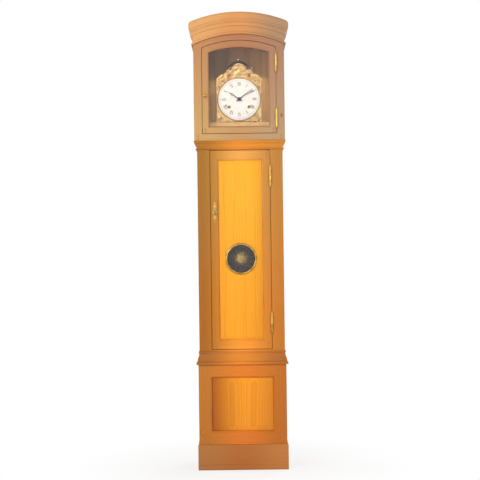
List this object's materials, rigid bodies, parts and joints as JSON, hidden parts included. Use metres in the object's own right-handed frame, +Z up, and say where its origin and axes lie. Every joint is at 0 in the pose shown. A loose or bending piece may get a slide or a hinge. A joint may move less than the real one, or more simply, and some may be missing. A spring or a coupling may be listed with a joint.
{
  "type": "tall case clock",
  "caption": "Tall case clock in pine with an arched glazed hood, a long panelled door with a round pendulum window, and a weight-driven movement.",
  "frame": {"origin": "on the floor, under the middle of the clock", "axes": "+Z up, -Y out of the clock's front, +X to the right for someone who faces the clock"},
  "size_m": [0.5, 0.284, 2.2999],
  "materials": {
    "pine": "waxed honey pine",
    "bright_pine": "waxed pine, the brightest boards",
    "dark_pine": "waxed pine, the darker boards",
    "brass": "lacquered brass",
    "steel": "polished and blued steel",
    "iron": "blacked cast iron",
    "enamel": "white enamel",
    "glass": "clear glass",
    "smoked_glass": "glass over the dark trunk",
    "line": "gut line"
  },
  "bodies": {
    "case": {"plinth": "dark_pine", "bottom_board": "pine", "base_frame": "pine", "base_panel": "bright_pine", "base_sides": "pine", "waist_moulding": "dark_pine", "trunk_sides": "pine", "trunk_frame": "pine", "back_boards": "dark_pine", "throat_moulding": "dark_pine", "seat_board": "pine", "trunk_hinge_pins": "brass", "front_plate": "brass", "back_plate": "brass", "dial": "enamel", "dial_surround": "brass", "pendulum_cock": "brass", "bell": "brass", "bell_stand": "steel", "going_line": "line", "strike_line": "line"},
    "trunk_door": {"trunk_door_frame": "pine", "trunk_door_panel": "bright_pine", "window_bezel": "brass", "window_glass": "smoked_glass", "trunk_hinge_knuckles": "brass", "trunk_escutcheon": "brass", "trunk_lock_case": "steel"},
    "trunk_bolt": {"trunk_lock_bolt": "brass"},
    "trunk_key": {"trunk_key": "steel"},
    "hood": {"hood_frame": "pine", "hood_sides": "pine", "hood_roof": "dark_pine", "cornice": "pine", "hood_hinge_pins": "brass"},
    "hood_door": {"hood_door_frame": "pine", "hood_door_glass": "glass", "hood_hinge_knuckles": "brass"},
    "hood_catch": {"hood_door_catch": "brass"},
    "minute": {"centre_wheel": "brass", "cannon_pinion": "brass", "minute_hand": "steel"},
    "hour": {"hour_wheel": "brass", "hour_hand": "steel"},
    "minute_wheel": {"minute_wheel": "brass"},
    "great_wheel": {"great_wheel": "brass"},
    "going_barrel": {"going_barrel": "brass"},
    "third_wheel": {"third_wheel": "brass"},
    "escape_wheel": {"escape_wheel": "brass"},
    "anchor": {"anchor": "steel"},
    "pendulum": {"pendulum_rod": "steel", "pendulum_bob": "brass"},
    "going_weight": {"going_weight": "iron"},
    "strike_weight": {"strike_weight": "iron"},
    "strike_great_wheel": {"strike_great_wheel": "brass"},
    "strike_barrel": {"strike_barrel": "brass"},
    "pin_wheel": {"pin_wheel": "brass"},
    "warning_wheel": {"warning_wheel": "brass"},
    "fly": {"fly": "brass"},
    "hammer": {"hammer": "steel"}
  },
  "joints": [
    {"name": "hood_slide", "type": "slide", "parent": "case", "child": "hood", "axis": [0, -1, 0], "range_m": [0, 0.23]},
    {"name": "hood_door_hinge", "type": "hinge", "parent": "hood", "child": "hood_door", "pos_m": [0.18625, -0.126, 1.8], "axis": [0, 0, 1], "range_deg": [0, 110]},
    {"name": "hood_catch_turn", "type": "hinge", "parent": "hood_door", "child": "hood_catch", "pos_m": [-0.171, -0.12, 1.8818], "axis": [0, 1, 0], "range_deg": [0, 90]},
    {"name": "trunk_door_hinge", "type": "hinge", "parent": "case", "child": "trunk_door", "pos_m": [0.15125, -0.114, 1.1], "axis": [0, 0, 1], "range_deg": [0, 110]},
    {"name": "trunk_bolt_slide", "type": "slide", "parent": "trunk_door", "child": "trunk_bolt", "axis": [-1, 0, 0], "range_m": [0, 0.009]},
    {"name": "trunk_key_turn", "type": "hinge", "parent": "trunk_door", "child": "trunk_key", "pos_m": [-0.13, -0.108, 1.29634], "axis": [0, 1, 0], "range_deg": [0, 180]},
    {"name": "minute_turn", "type": "hinge", "parent": "case", "child": "minute", "pos_m": [0, 0.01, 1.868], "axis": [0, 1, 0], "continuous": true},
    {"name": "hour_turn", "type": "hinge", "parent": "case", "child": "hour", "pos_m": [0, 0.01, 1.868], "axis": [0, 1, 0], "continuous": true},
    {"name": "minute_wheel_turn", "type": "hinge", "parent": "case", "child": "minute_wheel", "pos_m": [0, 0.01, 1.832], "axis": [0, 1, 0], "continuous": true},
    {"name": "great_wheel_turn", "type": "hinge", "parent": "case", "child": "great_wheel", "pos_m": [-0.05, 0.01, 1.82853], "axis": [0, 1, 0], "continuous": true},
    {"name": "third_wheel_turn", "type": "hinge", "parent": "case", "child": "third_wheel", "pos_m": [-0.0234, 0.01, 1.90853], "axis": [0, 1, 0], "continuous": true},
    {"name": "escape_wheel_turn", "type": "hinge", "parent": "case", "child": "escape_wheel", "pos_m": [0, 0.01, 1.94198], "axis": [0, 1, 0], "continuous": true},
    {"name": "going_barrel_turn", "type": "hinge", "parent": "case", "child": "going_barrel", "pos_m": [-0.05, 0.01, 1.82853], "axis": [0, 1, 0], "range_deg": [-2340, 0]},
    {"name": "going_weight_fall", "type": "slide", "parent": "case", "child": "going_weight", "axis": [0, 0, 1], "range_m": [-1.05, 0], "deforming": ["going_line"]},
    {"name": "pendulum_swing", "type": "hinge", "parent": "case", "child": "pendulum", "pos_m": [0, 0.105, 1.97734], "axis": [0, 1, 0], "range_deg": [-2.5, 2.5]},
    {"name": "anchor_rock", "type": "hinge", "parent": "case", "child": "anchor", "pos_m": [0, 0.105, 1.97734], "axis": [0, 1, 0], "range_deg": [-2.5, 2.5]},
    {"name": "pin_wheel_turn", "type": "hinge", "parent": "case", "child": "pin_wheel", "pos_m": [0.05525, 0.01, 1.8885], "axis": [0, 1, 0], "continuous": true},
    {"name": "strike_great_wheel_turn", "type": "hinge", "parent": "case", "child": "strike_great_wheel", "pos_m": [0.05, 0.01, 1.82853], "axis": [0, 1, 0], "continuous": true},
    {"name": "warning_wheel_turn", "type": "hinge", "parent": "case", "child": "warning_wheel", "pos_m": [0.04846, 0.01, 1.92701], "axis": [0, 1, 0], "continuous": true},
    {"name": "fly_turn", "type": "hinge", "parent": "case", "child": "fly", "pos_m": [0.07546, 0.01, 1.94323], "axis": [0, 1, 0], "continuous": true},
    {"name": "strike_barrel_turn", "type": "hinge", "parent": "case", "child": "strike_barrel", "pos_m": [0.05, 0.01, 1.82853], "axis": [0, 1, 0], "range_deg": [0, 2340]},
    {"name": "strike_weight_fall", "type": "slide", "parent": "case", "child": "strike_weight", "axis": [0, 0, 1], "range_m": [-1.05, 0], "deforming": ["strike_line"]},
    {"name": "hammer_lift", "type": "hinge", "parent": "case", "child": "hammer", "pos_m": [0.09821, 0.01, 1.90854], "axis": [0, 1, 0], "range_deg": [0, 15]}
  ],
  "couplings": [
    {"joint": "trunk_key_turn", "follows": "trunk_bolt_slide", "rad_per_m": 349},
    {"joint": "hour_turn", "follows": "minute_turn", "ratio": 0.083333},
    {"joint": "minute_wheel_turn", "follows": "minute_turn", "ratio": -0.5},
    {"joint": "great_wheel_turn", "follows": "minute_turn", "ratio": -0.083333},
    {"joint": "third_wheel_turn", "follows": "minute_turn", "ratio": -8},
    {"joint": "escape_wheel_turn", "follows": "minute_turn", "ratio": 63},
    {"joint": "going_barrel_turn", "follows": "going_weight_fall", "rad_per_m": 38.76},
    {"joint": "strike_barrel_turn", "follows": "strike_weight_fall", "rad_per_m": -38.76},
    {"joint": "anchor_rock", "follows": "pendulum_swing", "ratio": 1},
    {"joint": "strike_great_wheel_turn", "follows": "pin_wheel_turn", "ratio": -0.10256},
    {"joint": "warning_wheel_turn", "follows": "pin_wheel_turn", "ratio": -7.5},
    {"joint": "fly_turn", "follows": "pin_wheel_turn", "ratio": 60}
  ]
}
